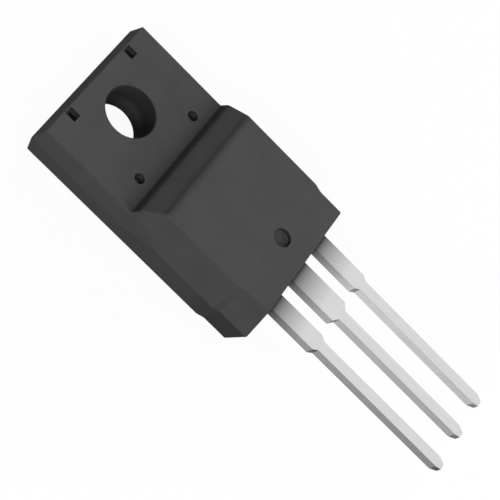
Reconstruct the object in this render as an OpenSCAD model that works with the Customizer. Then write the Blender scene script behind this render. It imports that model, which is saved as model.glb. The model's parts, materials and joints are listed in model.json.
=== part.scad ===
// Fully moulded power transistor, three leads, millimetres.
// The part lies on its flat back: +Z is the front, +Y the tab's top end, and the leads run along -Y.
// The origin is the mounting hole's axis at the back face.

/* [Moulding] */
// Width over the parting edge
body_w = 10.2; // [9.8:0.05:10.8]
// Length over the parting edge, from the tab's top end to the lead end
body_l = 16; // [15.4:0.1:17]
// Thickness of the block over the chip
block_t = 4.4; // [4.2:0.05:5]
// Thickness of the mounting tab
tab_t = 2.75; // [2.5:0.05:3]
// Distance from the hole's axis to the tab's top end, over the parting edge
hole_to_top = 2.95; // [2.7:0.05:3.5]
// Diameter of the mounting hole
hole_d = 3.1; // [3:0.02:3.4]

/* [Step between tab and block] */
// Distance from the hole's axis to the foot of the step
hole_to_step = 3.6; // [3.3:0.05:4]
// Height of the step's steep foot
step_foot_h = 0.7; // [0.2:0.05:0.9]
// Run of the steep foot along the part
step_foot_run = 0.25; // [0.05:0.01:0.4]
// Run of the long slope above the foot
step_slope_run = 1.08; // [0.8:0.02:1.6]

/* [Draft of the sides and ends] */
// Height of the parting edge on the tab
tab_parting_z = 1.42; // [1.3:0.02:1.7]
// Height of the parting edge on the block
block_parting_z = 2.15; // [1.9:0.05:2.4]
// Length over which the parting edge climbs from the tab to the block
parting_ramp_l = 2.5; // [1.5:0.1:4]
// Inset of the back face's long edges from the block's parting edge
side_back_in = 0.35; // [0.15:0.01:0.45]
// Inset of the tab front's long edges from the block's parting edge
side_tab_in = 0.31; // [0.1:0.01:0.4]
// Inset of the block front's long edges from the parting edge
side_block_in = 0.72; // [0.5:0.01:0.8]
// Inset of the back face's top edge from the parting edge
top_back_in = 0.3; // [0.1:0.01:0.45]
// Inset of the tab front's top edge from the parting edge
top_front_in = 0.28; // [0.1:0.01:0.45]
// Inset of the lead end's front and back edges from the parting edge
bottom_in = 0.41; // [0.1:0.01:0.5]

/* [Narrowed lead end] */
// How much each side steps in near the leads
notch_in = 0.15; // [0.05:0.01:0.25]
// Length of the narrowed part
notch_l = 2.1; // [1.6:0.05:2.6]
// Length of the slope that leads into it
notch_ramp_l = 0.5; // [0.2:0.05:0.8]

/* [Mould pin marks] */
// Width of each slot in the tab's top edge
slot_w = 0.55; // [0.4:0.05:0.8]
// Distance from the hole's axis up to the slots
slot_y = 1.9; // [1.7:0.05:2.1]
// Length of each slot
slot_l = 0.7; // [0.5:0.05:0.7]
// Length of each slot's level floor
slot_floor_l = 0.4; // [0.1:0.05:0.45]
// Depth of each slot's level floor
slot_depth = 0.8; // [0.4:0.05:0.8]
// Distance between the slots' centre lines
slot_span = 5.74; // [5.5:0.02:6.2]
// Diameter of the two round pin marks
pin_d = 0.62; // [0.4:0.02:0.8]
// Distance between the round pin marks
pin_span = 5.6; // [5:0.05:6]
// Distance from the hole's axis down to the round pin marks
pin_y = 2.77; // [2.5:0.01:3]
// Depth of the round pin marks
pin_depth = 0.7; // [0.2:0.05:0.8]
// Diameter of the ejector mark on the block's front
ejector_d = 1.1; // [0.9:0.05:1.5]
// Distance from the lead end, over the parting edge, to the ejector mark
ejector_from_end = 2.3; // [1.8:0.05:2.8]
// Depth of the ejector mark
ejector_depth = 0.3; // [0.05:0.05:0.4]

/* [Leads] */
// Distance between neighbouring leads
lead_pitch = 2.54; // [2.4:0.02:2.6]
// Thickness of the leads
lead_t = 0.65; // [0.45:0.05:0.7]
// Height of the leads' back side above the back face
lead_z = 2.575; // [2.4:0.025:2.7]
// Width of the thin part of each lead
lead_w = 0.7; // [0.6:0.01:0.9]
// Width of the two outer leads' shoulders
outer_shoulder_w = 1.16; // [1:0.02:1.4]
// Width of the centre lead's shoulder
centre_shoulder_w = 1.54; // [1.3:0.02:1.6]
// Length of the shoulders outside the moulding
shoulder_l = 3.2; // [2.6:0.05:3.8]
// Length of the slope from shoulder to thin part
shoulder_taper_l = 0.3; // [0.2:0.02:0.6]
// Length of the leads outside the moulding
lead_l = 13.6; // [9:0.1:14]
// Length of the tapered tip
tip_l = 0.45; // [0.2:0.05:0.9]
// Width that the tip loses on each side
tip_side_in = 0.16; // [0.05:0.01:0.2]
// Thickness that the tip loses on the front and on the back
tip_face_in = 0.1; // [0.05:0.01:0.15]

/* [Header inside] */
// Thickness of the copper header
header_t = 1.3; // [1.1:0.05:1.4]
// Epoxy behind the header, which insulates it
header_z = 0.5; // [0.4:0.05:0.6]
// Width of the header
header_w = 8.4; // [8:0.1:8.6]
// Radius of the cut-out around the mounting hole
header_notch_r = 2.3; // [2.1:0.05:2.35]
// Epoxy between the header's arms and the tab's top end, over the parting edge
header_top_gap = 0.85; // [0.75:0.05:1]
// Distance from the lead end, over the parting edge, to the header's lower edge
header_end_gap = 3.8; // [3.6:0.05:4.2]
// Length of the jog that lifts the centre lead to the lead plane
jog_l = 1.3; // [1:0.1:1.6]

/* [Chip and bonds inside] */
// Width of the chip across the part
die_w = 3.6; // [2.5:0.1:4]
// Length of the chip
die_l = 3; // [2:0.1:3.2]
// Thickness of the chip
die_t = 0.28; // [0.2:0.02:0.35]
// Thickness of the solder under the chip
solder_t = 0.05; // [0.03:0.01:0.1]
// How far the solder shows around the chip
solder_margin = 0.15; // [0.05:0.05:0.3]
// Distance from the header's lower edge to the chip
die_from_edge = 0.7; // [0.4:0.1:1]
// Distance from the chip's sides to the gate's bond and the outer source bond
bond_from_side = 0.5; // [0.3:0.05:1]
// Distance from the chip's lower edge to the gate's bond
gate_bond_up = 0.42; // [0.3:0.02:0.8]
// Distance from the chip's lower edge to the source bonds
source_bond_up = 1.2; // [0.8:0.05:1.6]
// Distance between the two source bonds on the chip
source_bond_pitch = 0.88; // [0.6:0.02:1.2]
// Distance between the two source bonds on their post
source_post_pitch = 1.06; // [0.6:0.02:1.4]
// Width of the bond posts at the outer leads' inner ends
post_w = 2.4; // [2:0.1:2.7]
// Length of the bond posts
post_l = 1.4; // [1.1:0.1:1.6]
// Epoxy between the bond posts and the lead end, over the parting edge
post_from_end = 1.1; // [1:0.05:1.3]
// Diameter of the gate's bond wire
gate_wire_d = 0.15; // [0.1:0.01:0.25]
// Diameter of the source's two bond wires
source_wire_d = 0.38; // [0.25:0.01:0.5]
// Radius of the bond wires' arcs
wire_arc_r = 2.7; // [2.5:0.1:3.2]

/* [Hidden] */
$fn = 64;
wire_facets = 24;
far = 40;
past = 1;
side_x = body_w / 2;
top_y = hole_to_top;
end_y = top_y - body_l;
foot_y = -hole_to_step;
notch_y = end_y + notch_l;
notch_start_y = notch_y + notch_ramp_l;
lead_top = lead_z + lead_t;
shoulder_y = end_y - shoulder_l;
thin_y = shoulder_y - shoulder_taper_l;
tip_y = end_y - lead_l;
header_top = header_z + header_t;
header_end_y = end_y + header_end_gap;
die_y = header_end_y + die_from_edge;
die_z = header_top + solder_t;
die_top = die_z + die_t;
bond_x = die_w / 2 - bond_from_side;
source_bond_y = die_y + source_bond_up;
post_y = end_y + post_from_end;
mould_colour = [0.28, 0.28, 0.29];
tin_colour = [0.8, 0.8, 0.8];

// Everything outboard of a plane through point p on the right-hand side.
// The plane moves outboard by lean for each millimetre of height, and by flare for each along Y.
module outboard(p, lean, flare) {
    length = norm([1, flare, lean]);
    translate(p) rotate([0, acos(-lean / length), atan2(-flare, 1)])
        translate([-far / 2, -far / 2, 0]) cube(far);
}

// Side view of the moulding, drawn as Y and Z.
module side_view_bar() {
    rotate([90, 0, 90]) linear_extrude(body_w + 2 * past, center = true) polygon([
        [top_y - top_back_in, 0],
        [top_y, tab_parting_z],
        [top_y - top_front_in, tab_t],
        [foot_y, tab_t],
        [foot_y - step_foot_run, tab_t + step_foot_h],
        [foot_y - step_foot_run - step_slope_run, block_t],
        [end_y + bottom_in, block_t],
        [end_y, block_parting_z],
        [end_y + bottom_in, 0],
    ]);
}

// What the right-hand side's drafted faces cut away. One lower face runs along the whole side.
// The upper face is steep on the tab, flares out to the block's full width, then leans more.
module side_cuts() {
    lower_lean = side_back_in / block_parting_z;
    tab_edge = [side_x - lower_lean * (block_parting_z - tab_parting_z), foot_y, tab_parting_z];
    tab_lean = (side_x - side_tab_in - tab_edge[0]) / (tab_t - tab_parting_z);
    rise = block_parting_z - tab_parting_z;
    tab_flare = (tab_edge[0] + tab_lean * rise - side_x) / parting_ramp_l;
    block_edge = [side_x, notch_start_y, block_parting_z];
    intersection() {
        outboard(tab_edge, tab_lean, 0);
        outboard(tab_edge, tab_lean, tab_flare);
    }
    for (lean = [lower_lean, -side_block_in / (block_t - block_parting_z)]) {
        outboard(block_edge, lean, 0);
        intersection() {
            outboard(block_edge, lean, notch_in / notch_ramp_l);
            outboard(block_edge - [notch_in, 0, 0], lean, 0);
        }
    }
}

// The moulding's drafted outer form.
module moulding_blank() {
    difference() {
        side_view_bar();
        side_cuts();
        mirror([1, 0, 0]) side_cuts();
    }
}

// Slots, round marks and the ejector mark that the mould leaves in the front.
// A slot's floor is level at its lower end, then rises to the front.
module pin_marks() {
    slope = slot_depth / (slot_l - slot_floor_l);
    slot = [
        [0, -slot_depth],
        [slot_floor_l, -slot_depth],
        [slot_l + past, slope * past],
        [0, slope * past],
    ];
    for (side = [-1, 1]) {
        translate([side * slot_span / 2, slot_y, tab_t]) rotate([90, 0, 90])
            linear_extrude(slot_w, center = true) polygon(slot);
        translate([side * pin_span / 2, -pin_y, tab_t - pin_depth]) cylinder(h = tab_t, d = pin_d);
    }
    translate([0, end_y + ejector_from_end, block_t - ejector_depth])
        cylinder(h = block_t, d = ejector_d);
}

module mould_body() {
    color(mould_colour) difference() {
        moulding_blank();
        translate([0, 0, -far / 2]) cylinder(h = far, d = hole_d);
        pin_marks();
        drain_header();
        gate_lead();
        source_lead();
        die_attach();
        die();
        gate_wire();
        source_wire_1();
        source_wire_2();
    }
}

// One lead's blade from a station inside the moulding to its tapered tip.
module blade(shoulder_w, start_y) {
    half = [
        [shoulder_w / 2, start_y],
        [shoulder_w / 2, shoulder_y],
        [lead_w / 2, thin_y],
        [lead_w / 2, tip_y + tip_l],
        [lead_w / 2 - tip_side_in, tip_y],
    ];
    mirrored = [for (i = [len(half) - 1:-1:0]) [-half[i][0], half[i][1]]];
    intersection() {
        translate([0, 0, lead_z]) linear_extrude(lead_t) polygon(concat(half, mirrored));
        rotate([90, 0, 90]) linear_extrude(2 * shoulder_w, center = true) polygon([
            [start_y, lead_z],
            [start_y, lead_top],
            [tip_y + tip_l, lead_top],
            [tip_y, lead_top - tip_face_in],
            [tip_y, lead_z + tip_face_in],
            [tip_y + tip_l, lead_z],
        ]);
    }
}

// Outer lead with the wider bond post at its inner end.
module outer_lead(side) {
    translate([side * lead_pitch, 0, 0]) {
        blade(outer_shoulder_w, post_y);
        translate([-post_w / 2, post_y, lead_z]) cube([post_w, post_l, lead_t]);
    }
}

module gate_lead() {
    color(tin_colour) outer_lead(-1);
}

module source_lead() {
    color(tin_colour) outer_lead(1);
}

// Copper header: a plate whose two arms pass the mounting hole, a jog, and the centre lead.
module drain_header() {
    arm_y = top_y - header_top_gap;
    jog_end_y = header_end_y - jog_l;
    color([0.78, 0.5, 0.33]) union() {
        translate([0, 0, header_z]) linear_extrude(header_t) difference() {
            translate([-header_w / 2, header_end_y]) square([header_w, arm_y - header_end_y]);
            circle(r = header_notch_r);
            translate([-header_notch_r, 0]) square([2 * header_notch_r, top_y]);
        }
        rotate([90, 0, 90]) linear_extrude(centre_shoulder_w, center = true) polygon([
            [header_end_y, header_top - lead_t],
            [header_end_y, header_top],
            [jog_end_y, lead_top],
            [jog_end_y, lead_z],
        ]);
        blade(centre_shoulder_w, jog_end_y);
    }
}

module die_attach() {
    color([0.6, 0.6, 0.62])
        translate([-die_w / 2 - solder_margin, die_y - solder_margin, header_top])
            cube([die_w + 2 * solder_margin, die_l + 2 * solder_margin, solder_t]);
}

module die() {
    color([0.35, 0.37, 0.42]) translate([-die_w / 2, die_y, die_z]) cube([die_w, die_l, die_t]);
}

// Bond wire on an arc from the chip's top at a to a post's top at b, cut off flat on both.
module bond_wire(a, b, d) {
    run = norm([b[0] - a[0], b[1] - a[1]]);
    rise = lead_top - die_top;
    chord = norm([run, rise]);
    sag = sqrt(wire_arc_r * wire_arc_r - chord * chord / 4);
    centre_u = run / 2 + sag * rise / chord;
    centre_z = rise / 2 - sag * run / chord;
    from = atan2(rise - centre_z, run - centre_u);
    to = atan2(-centre_z, -centre_u);
    over = asin(2 * d / wire_arc_r);
    color([0.85, 0.85, 0.86])
        translate([a[0], a[1], die_top]) rotate([0, 0, atan2(b[1] - a[1], b[0] - a[0])])
            difference() {
                translate([centre_u, 0, centre_z]) rotate([90, 0, 0]) rotate([0, 0, from - over])
                    rotate_extrude(angle = to - from + 2 * over)
                        translate([wire_arc_r, 0]) circle(d = d, $fn = wire_facets);
                translate([-far, -far, -far]) cube([far + run / 2, 2 * far, far]);
                translate([run / 2, -far, rise - far]) cube([far, 2 * far, far]);
            }
}

// Middle of the bond post on one side, moved across it by shift.
function post_point(side, shift) = [side * lead_pitch + shift, post_y + post_l / 2];

module gate_wire() {
    bond_wire([-bond_x, die_y + gate_bond_up], post_point(-1, 0), gate_wire_d);
}

module source_wire_1() {
    bond_wire([bond_x - source_bond_pitch, source_bond_y], post_point(1, -source_post_pitch / 2),
              source_wire_d);
}

module source_wire_2() {
    bond_wire([bond_x, source_bond_y], post_point(1, source_post_pitch / 2), source_wire_d);
}

mould_body();
drain_header();
gate_lead();
source_lead();
die();
die_attach();
gate_wire();
source_wire_1();
source_wire_2();
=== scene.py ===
import json
import math

import bmesh
import bpy
from mathutils import Matrix, Vector

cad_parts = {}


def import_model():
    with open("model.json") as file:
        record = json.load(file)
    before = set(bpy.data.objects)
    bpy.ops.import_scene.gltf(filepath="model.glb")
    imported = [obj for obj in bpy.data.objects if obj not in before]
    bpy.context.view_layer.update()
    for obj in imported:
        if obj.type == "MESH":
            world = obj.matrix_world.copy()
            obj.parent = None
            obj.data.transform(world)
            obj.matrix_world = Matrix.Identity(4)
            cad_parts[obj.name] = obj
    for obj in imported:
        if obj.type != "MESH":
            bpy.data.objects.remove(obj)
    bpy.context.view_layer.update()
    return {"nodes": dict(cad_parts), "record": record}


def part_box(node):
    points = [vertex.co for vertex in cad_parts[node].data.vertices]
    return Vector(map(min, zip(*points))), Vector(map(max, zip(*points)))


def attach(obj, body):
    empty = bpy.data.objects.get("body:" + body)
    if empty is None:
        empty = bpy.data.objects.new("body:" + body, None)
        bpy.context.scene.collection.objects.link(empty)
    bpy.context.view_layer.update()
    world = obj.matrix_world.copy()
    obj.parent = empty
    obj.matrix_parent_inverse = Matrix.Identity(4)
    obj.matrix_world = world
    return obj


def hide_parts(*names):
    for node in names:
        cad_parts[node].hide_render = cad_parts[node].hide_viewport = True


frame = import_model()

MM = 0.001

# Camera, fitted to the photograph's edges: places in millimetres in the part's frame, roll in degrees.
CAMERA_AT = (-53.545, 7.1, 76.058)
CAMERA_AIM = (-0.451, -10.259, 2.0)
CAMERA_ROLL = 59.456
CAMERA_LENS = 118.437
CAMERA_SENSOR = 36.0
CAMERA_CLIP = (0.005, 20.0)

# Places that the frame gives, in millimetres. A ring is its x, y and radius.
mould_low, mould_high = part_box("mould_body")
END_Y = round(mould_low.y / MM, 3)
BLOCK_T = round(mould_high.z / MM, 3)
bore = next(m for m in frame["record"]["mounts"] if m["name"] == "mounting_hole")
TAB_T = bore["dims"]["length_mm"]
SCREW_HOLE = (bore["pos_m"][0] / MM, bore["pos_m"][1] / MM, bore["dims"]["r_mm"])

# Other places on the moulding, in millimetres, as in the part's source.
PIN_MARK = (2.8, -2.77, 0.31)
PIN_MARK_LEFT = (-PIN_MARK[0], *PIN_MARK[1:])
EJECTOR_MARK = (0.0, -10.75, 0.55)
MARK_FLOOR = 1.95
SLOT_X = 2.87
SLOT_Y = 1.9
SLOT_W = 0.55
SLOT_L = 0.7
FOOT_Y = -3.6
FOOT_TOP_Y = -3.85
CREST_Y = -4.93
# Between the slots' ends and the top edge of the tab's end.
PAST_SLOTS_Y = 2.64

# The cavity of the moulding, which the header, chip, wires and leads fill. From END_LEAN before the end
# face on, it has only the walls around the leads.
CAVITY_HALF_W = 4.4
CAVITY_END_Y = 2.3
CAVITY_FLOOR = 0.3
CAVITY_ROOF = 4.08
TAB_CAVITY_ROOF = 2.6
LEADS_HALF_W = 3.5
LEADS_Z = (2.5, 3.3)
END_LEAN = 0.45
ALONG_LEADS_NY = 0.5

# Roundings: the width in millimetres for a share of 1, then the share of each kind of edge.
MOULD_ROUND = 0.32
FOOT_TOP = 0.3
FOOT_BASE = 0.4
CREST = 0.3
HOLE_RIM = 0.35
TAB_END = 0.09
LONG_EDGE = 0.25
SMALL_EDGE = 0.08
STEP_EDGES = ((CREST_Y, CREST), (FOOT_TOP_Y, FOOT_TOP), (FOOT_Y, FOOT_BASE))
LEAD_ROUND = 0.02
ROUND_STEPS = 3
FLAT_WEIGHT = 100

# Tolerances: millimetres for places, degrees for angles, and a part of 1 for a normal.
SAME_POINT = 0.0005
CLOSE = 0.02
NEAR = 0.05
UPRIGHT_EDGE = 0.2
FLAT_ANGLE = 0.4
MOULD_ANGLE = 8
LEAD_ANGLE = 12
PARTING_NZ = 0.02

# Spans and levels of masks. A noise mostly lies in the middle of its range.
UNIT = (0.0, 1.0)
RISE = (0.0, 1.0)
FALL = (1.0, 0.0)
NOISE_SPAN = (0.3, 0.7)
TONE_SPAN = (0.35, 0.65)

# Tones of the moulding, mostly painted shade and painted light. Spans are millimetres (X, Y, Z) or parts
# of the normal (NX, NY, NZ). Levels say how far the colour goes from the plain one to the tone's own.
CLOUD_SHARE = 0.55
# Walls of the hole and the recesses, their rounded rims included, which get painted shade, and the depths
# of both, which get painted light.
RIM = 0.1
WALL_NZ = (0.3, 0.8)
HOLE_DEEP_Z = (0.2, 1.5)
SUNK_Z = (2.0, 2.6)
# The lower band of the sides, towards the leads, which faces down and gets painted shade.
UNDER_NZ = (-0.16, -0.04)
UNDER_Y = (-10.8, -8.8)
UNDER_LEVELS = (0.5, 0.0)
# Faces that lean towards the leads, such as the notches' ramps, but not the end face: they get painted
# shade.
SLOPE_NY = (-0.26, -0.1)
SLOPE_LEVELS = (0.32, 0.0)
SLOPE_END_Y = END_Y + 0.2
# The face at the tab's end, with painted light that makes it paler towards its top edge.
TAB_END_NY = (0.5, 0.8)
TAB_END_Z = (1.4, 2.7)
TAB_END_LEVELS = (0.4, 1.0)
# Dark lines of painted shade along X at the step's foot and crest: y, z, half length, width, and the level
# on the line.
FOOT_LINE = (-3.68, 2.97, 4.74, 0.5, 0.7)
CREST_LINE = (CREST_Y, BLOCK_T, 4.3, 0.27, 0.5)

# Tones of the leads, in the same units, all painted shade: the sides from the left lead to the right one,
# their thin ends, their shoulders, the tapered tips, and the part near the body, which fades to the
# painted shade.
RIGHTWARD_X = (-2.6, 1.9)
THIN_END_Y = (-26.5, -19.0)
THIN_END_LEVELS = (0.25, 0.0)
SHOULDER_Y = (-16.3, -15.0)
SHOULDER_LEVELS = (0.0, 0.4)
LEAD_WALL_NZ = (0.35, 0.8)
TIP_NY = (-0.32, -0.24)
# Painted shade next to the body.
ROOT_Y = (END_Y - 2.3, END_Y)
ROOT_POWER = 0.62
ROOT_SHADE = (0.08, 0.08, 0.08)
STROKES = (9.0, 0.7, 9.0)

# Colours, each a pair that a noise or a place blends.
EPOXY = ((0.066, 0.066, 0.0665), (0.077, 0.077, 0.0775))
# Painted light on the tab's end face.
EPOXY_PAINTED_LIGHT_END = ((0.104, 0.104, 0.1045), (0.110, 0.110, 0.1105))
# Painted shade on walls, in corners and on faces turned from the light.
EPOXY_PAINTED_SHADE = ((0.026, 0.026, 0.026), (0.032, 0.032, 0.032))
# Painted light deep in the hole.
EPOXY_PAINTED_LIGHT_DEEP = ((0.14, 0.14, 0.14), (0.16, 0.16, 0.16))
# Painted light deep in the recesses.
EPOXY_PAINTED_LIGHT_SUNK = ((0.16, 0.16, 0.16), (0.19, 0.19, 0.19))
TIN_ROLLED = ((0.67, 0.67, 0.665), (0.72, 0.72, 0.715))
# Painted shade on the leads' sides, darker on the left lead than on the right one.
TIN_SIDE = ((0.31, 0.31, 0.307), (0.35, 0.35, 0.347))
TIN_SIDE_RIGHT = ((0.60, 0.60, 0.596), (0.66, 0.66, 0.656))
# Painted shade on the tips, thin ends and shoulders, darker on the left lead.
TIN_PAINTED_SHADE = ((0.06, 0.06, 0.059), (0.22, 0.22, 0.218))
SILICON = ((0.06, 0.07, 0.09), (0.10, 0.11, 0.14))
SOLDER = ((0.38, 0.38, 0.39), (0.48, 0.48, 0.49))
BOND = ((0.74, 0.74, 0.75), (0.84, 0.84, 0.85))
PAPER_SEEN = ((0.90, 0.90, 0.90), (0.92, 0.92, 0.92))
PAPER_BOUNCE = ((0.17, 0.17, 0.17), (0.19, 0.19, 0.19))

# The studio, in metres. A lamp is its name, place and radiance.
FLOOR_SIZE = 4.0
FLOOR_Z = -0.00002
FLOOR_GLOW = 0.94
WORLD_LEVELS = (0.08, 1.0)
LAMP_SIZE = 0.30
LAMP_AIM = (0, -0.01, 0)
LAMPS = (
    ("left", (-0.52, -0.01, 0.30), 8.5),
    ("right", (0.52, -0.01, 0.30), 6.9),
    ("leads_end", (0, -0.54, 0.26), 7.1),
    ("overhead", (0, -0.01, 0.6), 2.0),
)


def put(tree, value, socket):
    """Link a node's output to the socket, or set the socket to a number or a colour."""
    if isinstance(value, bpy.types.NodeSocket):
        tree.links.new(value, socket)
    elif isinstance(value, tuple):
        socket.default_value = (*value, 1.0)
    else:
        socket.default_value = value


def nodes_of(name):
    mat = bpy.data.materials.new(name)
    mat.use_nodes = True
    tree = mat.node_tree
    return mat, tree, tree.nodes["Principled BSDF"]


def object_mm(tree, scale=(1.0, 1.0, 1.0)):
    """Places on the object in millimetres, stretched by the scale."""
    coord = tree.nodes.new("ShaderNodeTexCoord")
    mapping = tree.nodes.new("ShaderNodeMapping")
    mapping.inputs["Scale"].default_value = [s / MM for s in scale]
    put(tree, coord.outputs["Object"], mapping.inputs["Vector"])
    return mapping.outputs["Vector"]


def noise(tree, vector, scale, detail, roughness=0.5):
    n = tree.nodes.new("ShaderNodeTexNoise")
    n.inputs["Scale"].default_value = scale
    n.inputs["Detail"].default_value = detail
    n.inputs["Roughness"].default_value = roughness
    put(tree, vector, n.inputs["Vector"])
    return n.outputs["Fac"]


def spread(tree, value, levels, span=NOISE_SPAN):
    """The first level where the value is at the span's start, to the second at its end."""
    n = tree.nodes.new("ShaderNodeMapRange")
    for name, number in zip(("From Min", "From Max", "To Min", "To Max"), (*span, *levels)):
        n.inputs[name].default_value = number
    put(tree, value, n.inputs["Value"])
    return n.outputs["Result"]


def blend(tree, fac, a, b, kind="MIX"):
    n = tree.nodes.new("ShaderNodeMix")
    n.data_type = "RGBA"
    n.blend_type = kind
    put(tree, fac, n.inputs["Factor"])
    put(tree, a, n.inputs["A"])
    put(tree, b, n.inputs["B"])
    return n.outputs["Result"]


def calc(tree, kind, a, b=0.0):
    n = tree.nodes.new("ShaderNodeMath")
    n.operation = kind
    put(tree, a, n.inputs[0])
    put(tree, b, n.inputs[1])
    return n.outputs["Value"]


def size_of(tree, value):
    return calc(tree, "ABSOLUTE", value)


def times(tree, a, b):
    return calc(tree, "MULTIPLY", a, b)


def largest(tree, value, *others):
    for other in others:
        value = calc(tree, "MAXIMUM", value, other)
    return value


def square_sum(tree, a, b):
    return calc(tree, "ADD", times(tree, a, a), times(tree, b, b))


def bump(tree, bsdf, height, strength, depth_mm):
    n = tree.nodes.new("ShaderNodeBump")
    n.inputs["Strength"].default_value = strength
    n.inputs["Distance"].default_value = depth_mm * MM
    put(tree, height, n.inputs["Height"])
    put(tree, n.outputs["Normal"], bsdf.inputs["Normal"])


def split(tree, vector):
    n = tree.nodes.new("ShaderNodeSeparateXYZ")
    put(tree, vector, n.inputs["Vector"])
    return n.outputs["X"], n.outputs["Y"], n.outputs["Z"]


def normal_xyz(tree):
    return split(tree, tree.nodes.new("ShaderNodeTexCoord").outputs["Normal"])


def within(tree, x, y, ring):
    """1 inside an upright ring, or a pair mirrored in X, and on its rounded rim."""
    ring_x, ring_y, radius = ring
    dx = calc(tree, "SUBTRACT", size_of(tree, x), ring_x)
    dy = calc(tree, "SUBTRACT", y, ring_y)
    return calc(tree, "LESS_THAN", square_sum(tree, dx, dy), (radius + RIM) ** 2)


def near_line(tree, x, y, z, line):
    """The line's level on it, falling to 0 about two widths away."""
    line_y, line_z, half_length, width, level = line
    dy = calc(tree, "SUBTRACT", y, line_y)
    dz = calc(tree, "SUBTRACT", z, line_z)
    bell = calc(tree, "EXPONENT", times(tree, square_sum(tree, dy, dz), -1.0 / width ** 2))
    inside = calc(tree, "LESS_THAN", size_of(tree, x), half_length)
    return times(tree, times(tree, bell, inside), level)


def in_slot(tree, x, y):
    """1 inside either slot at the tab's end."""
    dx = calc(tree, "SUBTRACT", size_of(tree, x), SLOT_X)
    dy = calc(tree, "SUBTRACT", y, SLOT_Y + SLOT_L / 2)
    across = calc(tree, "LESS_THAN", size_of(tree, dx), SLOT_W / 2 + CLOSE)
    along = calc(tree, "LESS_THAN", size_of(tree, dy), SLOT_L / 2 + CLOSE)
    return times(tree, across, along)


def moulding_tones(tree, mm):
    """Masks: painted shade on walls, corners and faces turned from the light; painted light deep in the
    hole, in the recesses and on the tab's end face.
    """
    x, y, z = split(tree, mm)
    _, ny, nz = normal_xyz(tree)
    bored = within(tree, x, y, SCREW_HOLE)
    recess = largest(tree, in_slot(tree, x, y), within(tree, x, y, PIN_MARK),
                     within(tree, x, y, EJECTOR_MARK))
    upright = spread(tree, size_of(tree, nz), FALL, WALL_NZ)
    walls = times(tree, upright, largest(tree, bored, recess))
    # Painted shade on the lower band, which faces down.
    under = times(tree, spread(tree, nz, FALL, UNDER_NZ), spread(tree, y, UNDER_LEVELS, UNDER_Y))
    # Painted shade on faces that lean towards the leads.
    slope = times(tree, spread(tree, ny, SLOPE_LEVELS, SLOPE_NY),
                  calc(tree, "GREATER_THAN", y, SLOPE_END_Y))
    # Painted shade: dark walls, lower faces, slopes and lines at the step.
    painted_shade = largest(tree, walls, under, slope, near_line(tree, x, y, z, FOOT_LINE),
                   near_line(tree, x, y, z, CREST_LINE))
    # Painted light deep in the hole.
    deep = times(tree, bored, spread(tree, z, FALL, HOLE_DEEP_Z))
    # Painted light deep in the recesses.
    sunk = times(tree, recess, spread(tree, z, FALL, SUNK_Z))
    # Painted light on the tab's end face, paler towards its top edge.
    height = times(tree, spread(tree, z, TAB_END_LEVELS, TAB_END_Z),
                   calc(tree, "GREATER_THAN", y, PAST_SLOTS_Y))
    end = times(tree, spread(tree, ny, RISE, TAB_END_NY), height)
    return painted_shade, deep, sunk, end


def moulding_material():
    """Epoxy: dark grey, with painted shade on steep walls, in corners and on faces turned from the light,
    and painted light deep in the hole and the marks and on the tab's end face.
    """
    mat, tree, bsdf = nodes_of("epoxy_moulding")
    mm = object_mm(tree)
    clouds = noise(tree, mm, scale=0.45, detail=3.0)
    grain = noise(tree, mm, scale=9.0, detail=3.0, roughness=0.6)
    tone = calc(tree, "ADD", times(tree, clouds, CLOUD_SHARE), times(tree, grain, 1.0 - CLOUD_SHARE))
    painted_shade, deep, sunk, end = moulding_tones(tree, mm)
    colour = blend(tree, spread(tree, tone, RISE, TONE_SPAN), *EPOXY)
    # Painted light on the tab's end face.
    colour = blend(tree, end, colour, blend(tree, grain, *EPOXY_PAINTED_LIGHT_END))
    # Painted shade on the walls and in corners, with painted light deep in the hole.
    wall = blend(tree, deep, blend(tree, grain, *EPOXY_PAINTED_SHADE), blend(tree, grain, *EPOXY_PAINTED_LIGHT_DEEP))
    colour = blend(tree, painted_shade, colour, wall)
    # Painted light deep in the recesses.
    colour = blend(tree, sunk, colour, blend(tree, grain, *EPOXY_PAINTED_LIGHT_SUNK))
    put(tree, colour, bsdf.inputs["Base Color"])
    put(tree, spread(tree, clouds, (0.55, 0.65)), bsdf.inputs["Roughness"])
    bsdf.inputs["Specular IOR Level"].default_value = 0.004
    bump(tree, bsdf, grain, strength=0.35, depth_mm=0.01)
    return mat


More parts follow.
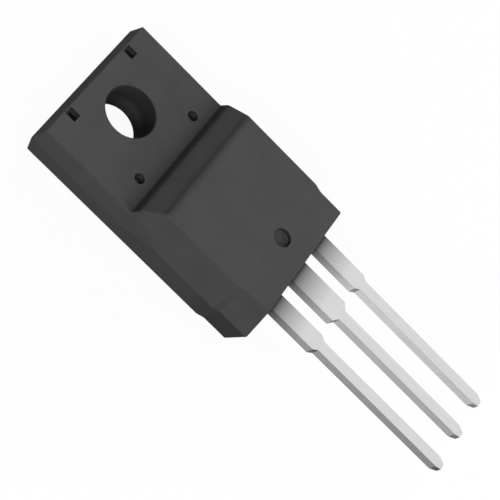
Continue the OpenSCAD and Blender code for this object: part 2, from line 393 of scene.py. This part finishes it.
def tin_material():
    """Matte tin: bright on the rolled faces, with painted shade on the stamped sides, the sheared ends and
    tips, and near the body.
    """
    mat, tree, bsdf = nodes_of("matte_tin")
    mm = object_mm(tree)
    strokes = noise(tree, object_mm(tree, STROKES), scale=1.0, detail=3.0)
    grain = noise(tree, mm, scale=14.0, detail=2.0)
    _, ny, nz = normal_xyz(tree)
    x, y, _ = split(tree, mm)
    streaks = spread(tree, strokes, RISE)
    # Painted shade: the sides and the darker tone go from darkest on the left lead to lighter on the right
    # one.
    rightward = spread(tree, x, RISE, RIGHTWARD_X)
    tin_painted_shade = blend(tree, rightward, *TIN_PAINTED_SHADE)
    side = blend(tree, rightward, blend(tree, streaks, *TIN_SIDE), blend(tree, streaks, *TIN_SIDE_RIGHT))
    # Painted shade on the sides towards the thin ends, and on the shoulders.
    side = blend(tree, spread(tree, y, THIN_END_LEVELS, THIN_END_Y), side, tin_painted_shade)
    shoulder = times(tree, rightward, spread(tree, y, SHOULDER_LEVELS, SHOULDER_Y))
    side = blend(tree, shoulder, side, tin_painted_shade)
    upright = spread(tree, size_of(tree, nz), FALL, LEAD_WALL_NZ)
    colour = blend(tree, upright, blend(tree, streaks, *TIN_ROLLED), side)
    # Painted shade on the tapered tips.
    tip = times(tree, spread(tree, ny, FALL, TIP_NY), upright)
    colour = blend(tree, tip, colour, tin_painted_shade)
    # Painted shade that fades in near the body.
    away = calc(tree, "POWER", spread(tree, y, FALL, ROOT_Y), ROOT_POWER)
    colour = blend(tree, away, blend(tree, 1.0, colour, ROOT_SHADE, "MULTIPLY"), colour)
    put(tree, colour, bsdf.inputs["Base Color"])
    bsdf.inputs["Metallic"].default_value = 1.0
    put(tree, spread(tree, grain, (0.42, 0.5)), bsdf.inputs["Roughness"])
    height = calc(tree, "ADD", strokes, times(tree, grain, 0.6))
    bump(tree, bsdf, height, strength=0.15, depth_mm=0.005)
    return mat


def plain_material(name, colours, scale, metallic, roughness, depth_mm):
    mat, tree, bsdf = nodes_of(name)
    spots = noise(tree, object_mm(tree), scale, detail=3.0)
    put(tree, blend(tree, spread(tree, spots, RISE), *colours), bsdf.inputs["Base Color"])
    bsdf.inputs["Metallic"].default_value = metallic
    put(tree, spread(tree, spots, (roughness - 0.05, roughness + 0.05)), bsdf.inputs["Roughness"])
    bump(tree, bsdf, spots, strength=0.2, depth_mm=depth_mm)
    return mat


def assign(obj, mat):
    obj.data.materials.clear()
    obj.data.materials.append(mat)


def add_object(name, data):
    obj = bpy.data.objects.new(name, data)
    bpy.context.scene.collection.objects.link(obj)
    return obj


def mesh_of(bm, name):
    mesh = bpy.data.meshes.new(name)
    bm.to_mesh(mesh)
    bm.free()
    return mesh


def by_slot(p):
    across = abs(abs(p.x) - SLOT_X) < SLOT_W / 2 + NEAR
    return across and SLOT_Y - NEAR < p.y < PAST_SLOTS_Y and p.z > MARK_FLOOR - NEAR


def on_ring(p, ring):
    return abs(math.hypot(p.x - ring[0], p.y - ring[1]) - ring[2]) < CLOSE


def inside_ring(p, ring):
    return math.hypot(p.x - ring[0], p.y - ring[1]) < ring[2] + NEAR


def hidden_inside(face):
    """A wall of the cavity, up to where the leads leave the end face."""
    p = face.calc_center_median() / MM
    if p.y < END_Y + END_LEAN:
        along_leads = abs(face.normal.y) < ALONG_LEADS_NY
        return along_leads and abs(p.x) < LEADS_HALF_W and LEADS_Z[0] < p.z < LEADS_Z[1]
    roof = CAVITY_ROOF if p.y < CREST_Y else TAB_CAVITY_ROOF
    if not (abs(p.x) < CAVITY_HALF_W and p.y < CAVITY_END_Y and CAVITY_FLOOR < p.z < roof):
        return False
    return not by_slot(p) and not any(inside_ring(p, r) for r in (SCREW_HOLE, PIN_MARK, PIN_MARK_LEFT))


def clean_copy(node):
    bm = bmesh.new()
    bm.from_mesh(frame["nodes"][node].data)
    bmesh.ops.remove_doubles(bm, verts=bm.verts, dist=SAME_POINT * MM)
    return bm


def rounded(bm, name, node, mat, width, share_of, least_angle):
    """A piece in place of the node, its edges rounded by their shares of the width."""
    bmesh.ops.dissolve_limit(bm, angle_limit=math.radians(FLAT_ANGLE), verts=bm.verts, edges=bm.edges)
    bmesh.ops.recalc_face_normals(bm, faces=bm.faces)
    layer = bm.edges.layers.float.new("bevel_weight_edge")
    for e in bm.edges:
        if len(e.link_faces) == 2 and e.calc_face_angle(0.0) > math.radians(least_angle):
            a, b = (v.co / MM for v in e.verts)
            up = [f.normal.z for f in e.link_faces]
            e[layer] = share_of(a, b, min(up) < -PARTING_NZ and max(up) > PARTING_NZ)
    mesh = mesh_of(bm, name)
    mesh.shade_smooth()
    obj = add_object(name, mesh)
    bevel = obj.modifiers.new("rounding", "BEVEL")
    bevel.limit_method = "WEIGHT"
    bevel.width = width * MM
    bevel.segments = ROUND_STEPS
    bevel.use_clamp_overlap = False
    bevel.harden_normals = True
    bevel.miter_outer = "MITER_ARC"
    flat = obj.modifiers.new("flat_faces", "WEIGHTED_NORMAL")
    flat.weight = FLAT_WEIGHT
    assign(obj, mat)
    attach(obj, "root")
    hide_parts(node)
    return obj


def moulding_share(a, b, parting):
    """The share of the moulding's edge from a to b; the parting edge stays nearly sharp."""
    upright = abs(a.z - b.z) > UPRIGHT_EDGE
    if on_ring(a, SCREW_HOLE) and on_ring(b, SCREW_HOLE):
        if upright:
            return 0.0
        return HOLE_RIM if a.z > TAB_T - NEAR else SMALL_EDGE
    if any(on_ring(a, r) and on_ring(b, r) for r in (PIN_MARK, PIN_MARK_LEFT, EJECTOR_MARK)):
        return 0.0 if upright else SMALL_EDGE
    mid = (a + b) / 2
    if parting or by_slot(mid):
        return SMALL_EDGE
    if mid.z > TAB_T - CLOSE and abs(a.y - b.y) < CLOSE:
        for y, share in STEP_EDGES:
            if abs(mid.y - y) < CLOSE:
                return share
        if mid.y > PAST_SLOTS_Y:
            return TAB_END
    return LONG_EDGE


def moulding_piece(mat):
    bm = clean_copy("mould_body")
    inside = [f for f in bm.faces if hidden_inside(f)]
    bmesh.ops.delete(bm, geom=inside, context="FACES")
    bmesh.ops.holes_fill(bm, edges=[e for e in bm.edges if e.is_boundary], sides=0)
    obj = rounded(bm, "moulding", "mould_body", mat, MOULD_ROUND, moulding_share, MOULD_ANGLE)


def lead_piece(node, name, mat):
    obj = rounded(clean_copy(node), name, node, mat, LEAD_ROUND, lambda a, b, parting: 1.0, LEAD_ANGLE)


def plane(name, size, centre, normal, mat):
    bm = bmesh.new()
    bmesh.ops.create_grid(bm, x_segments=1, y_segments=1, size=size / 2)
    obj = add_object(name, mesh_of(bm, name))
    obj.rotation_mode = "QUATERNION"
    obj.rotation_quaternion = Vector(normal).to_track_quat("Z", "Y")
    obj.location = centre
    assign(obj, mat)


def area_lamp(name, at, radiance):
    """A square lamp that lights the part but doesn't show in its metal."""
    data = bpy.data.lights.new(name, "AREA")
    data.shape = "SQUARE"
    data.size = LAMP_SIZE
    data.energy = radiance * math.pi * LAMP_SIZE * LAMP_SIZE
    obj = add_object(name, data)
    obj.location = at
    obj.rotation_mode = "QUATERNION"
    obj.rotation_quaternion = (Vector(LAMP_AIM) - Vector(at)).to_track_quat("-Z", "Y")
    obj.visible_glossy = False


def camera():
    data = bpy.data.cameras.new("photo_camera")
    data.lens = CAMERA_LENS
    data.sensor_width = CAMERA_SENSOR
    data.clip_start, data.clip_end = CAMERA_CLIP
    obj = add_object("photo_camera", data)
    at = Vector(CAMERA_AT) * MM
    ahead = (Vector(CAMERA_AIM) * MM - at).normalized()
    level = ahead.cross(Vector((0, 0, 1))).normalized()
    turn = Matrix.Rotation(math.radians(CAMERA_ROLL), 3, ahead)
    right = turn.inverted() @ level
    up = right.cross(ahead)
    axes = Matrix((right, up, -ahead)).transposed()
    obj.matrix_world = Matrix.Translation(at) @ axes.to_4x4()
    bpy.context.scene.camera = obj


def seen_directly(tree):
    """1 for what the camera sees, also in metal or through glass, and 0 for the light on the part."""
    path = tree.nodes.new("ShaderNodeLightPath")
    return largest(tree, path.outputs["Is Camera Ray"], path.outputs["Is Glossy Ray"],
                   path.outputs["Is Transmission Ray"])


def world():
    w = bpy.data.worlds.new("studio")
    bpy.context.scene.world = w
    w.use_nodes = True
    tree = w.node_tree
    back = tree.nodes["Background"]
    back.inputs["Color"].default_value = (1.0, 1.0, 1.0, 1.0)
    put(tree, spread(tree, seen_directly(tree), WORLD_LEVELS, UNIT), back.inputs["Strength"])


def floor_material():
    """Paper that is nearly white with a faint shadow where it is seen, and bounces little light."""
    mat, tree, bsdf = nodes_of("pale_floor")
    spots = noise(tree, object_mm(tree), scale=0.02, detail=1.0)
    seen = seen_directly(tree)
    paper = blend(tree, seen, blend(tree, spots, *PAPER_BOUNCE), blend(tree, spots, *PAPER_SEEN))
    put(tree, paper, bsdf.inputs["Base Color"])
    bsdf.inputs["Roughness"].default_value = 0.9
    bsdf.inputs["Specular IOR Level"].default_value = 0.1
    glow = tree.nodes.new("ShaderNodeEmission")
    both = tree.nodes.new("ShaderNodeMixShader")
    put(tree, spread(tree, seen, (0.0, FLOOR_GLOW), UNIT), both.inputs["Fac"])
    put(tree, bsdf.outputs["BSDF"], both.inputs[1])
    put(tree, glow.outputs["Emission"], both.inputs[2])
    put(tree, both.outputs["Shader"], tree.nodes["Material Output"].inputs["Surface"])
    return mat


camera()
world()
plane("floor", FLOOR_SIZE, (0, 0, FLOOR_Z), (0, 0, 1), floor_material())
for lamp in LAMPS:
    area_lamp(*lamp)

moulding_piece(moulding_material())
tin = tin_material()
lead_piece("gate_lead", "gate_lead_plated", tin)
lead_piece("source_lead", "source_lead_plated", tin)
lead_piece("drain_header", "drain_lead_plated", tin)

silicon = plain_material("silicon", SILICON, scale=3.0, metallic=0.3, roughness=0.25, depth_mm=0.001)
solder = plain_material("solder", SOLDER, scale=6.0, metallic=1.0, roughness=0.5, depth_mm=0.004)
bond = plain_material("bond_aluminium", BOND, scale=12.0, metallic=1.0, roughness=0.3, depth_mm=0.002)
assign(frame["nodes"]["die"], silicon)
assign(frame["nodes"]["die_attach"], solder)
for node in ("gate_wire", "source_wire_1", "source_wire_2"):
    assign(frame["nodes"][node], bond)

bpy.context.scene.view_settings.view_transform = "Standard"

bpy.context.view_layer.update()
